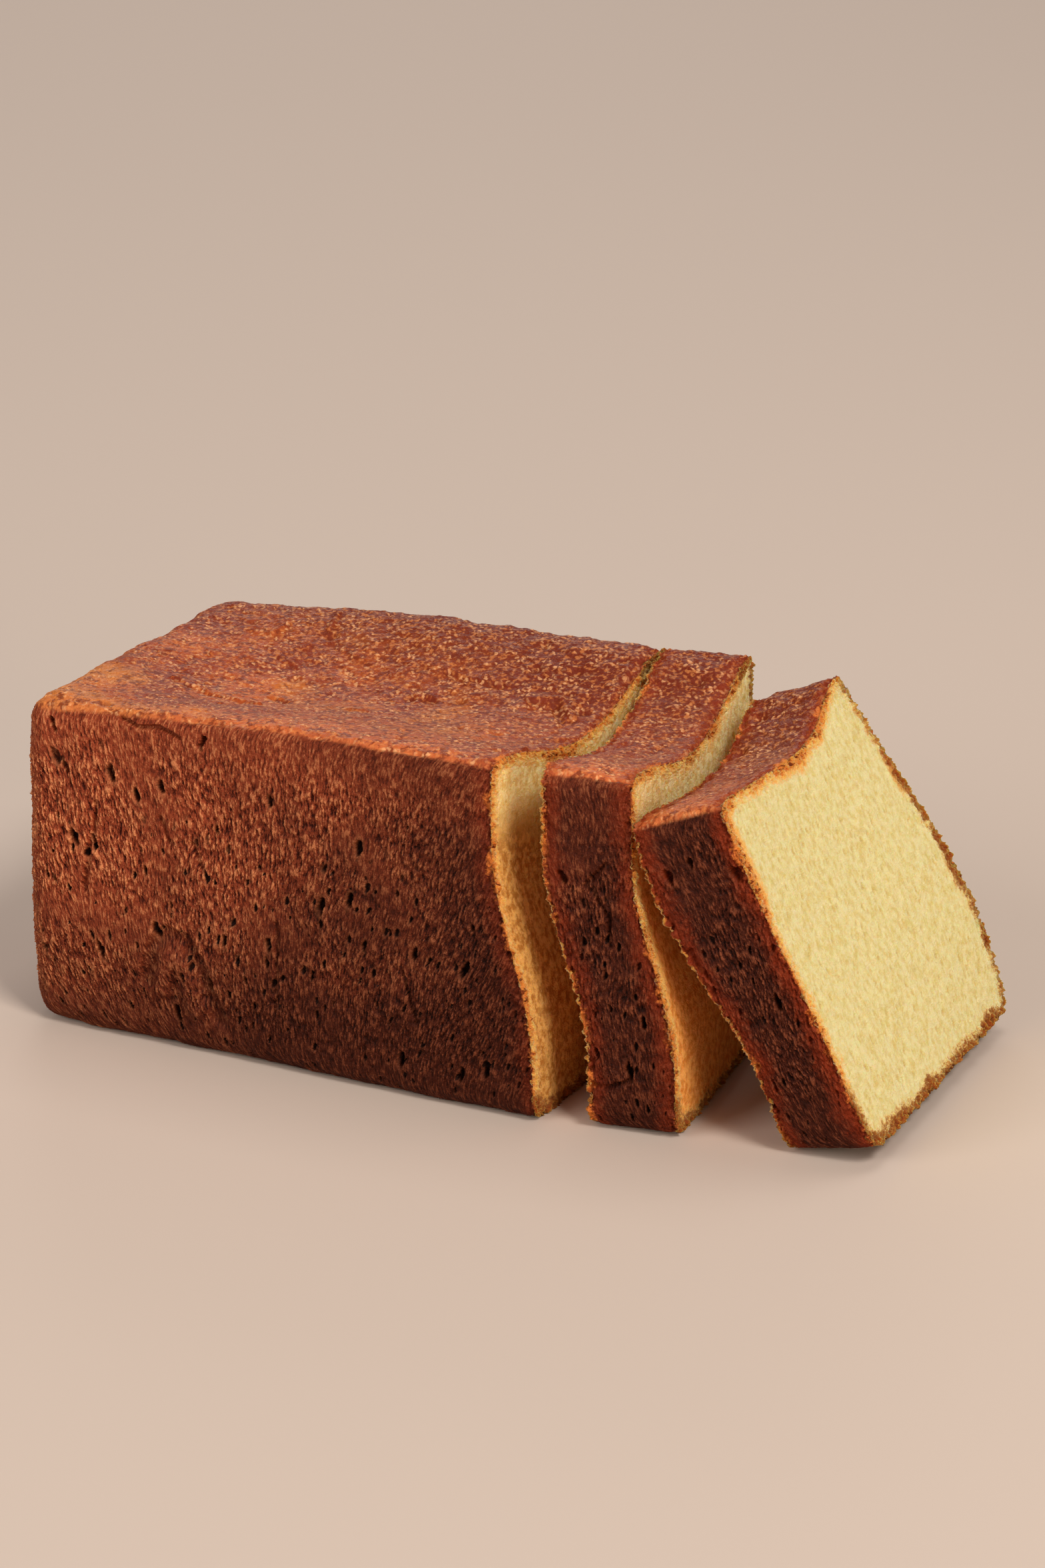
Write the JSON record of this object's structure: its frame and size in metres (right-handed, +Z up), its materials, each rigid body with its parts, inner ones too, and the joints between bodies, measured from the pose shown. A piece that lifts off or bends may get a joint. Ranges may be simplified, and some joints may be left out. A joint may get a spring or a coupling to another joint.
{
  "type": "part-sliced brioche loaf",
  "caption": "Square pan-baked brioche loaf with a dark crust and a sunken top, its cut end opening into thick slices that lean back on the block.",
  "frame": {"origin": "on the surface the loaf rests on, under the middle of the bounding box of the whole group", "axes": "+Z up, +X along the loaf from its closed end to the slices, +Y across the loaf from its front side to its back side"},
  "size_m": [0.2566, 0.123, 0.1045],
  "materials": {
    "block_crust": "baked crust, reddish brown and softly shiny on top, darker, drier and pitted on the sides; pale yellow matte crumb on the cut",
    "first_slice_crust": "baked crust as on the block, with pale yellow matte crumb on both cuts",
    "second_slice_crust": "baked crust as on the block, a little darker, with pale yellow matte crumb on both cuts"
  },
  "bodies": {
    "root": {"loaf_block": "block_crust", "first_slice": "first_slice_crust", "second_slice": "second_slice_crust"}
  },
  "joints": []
}
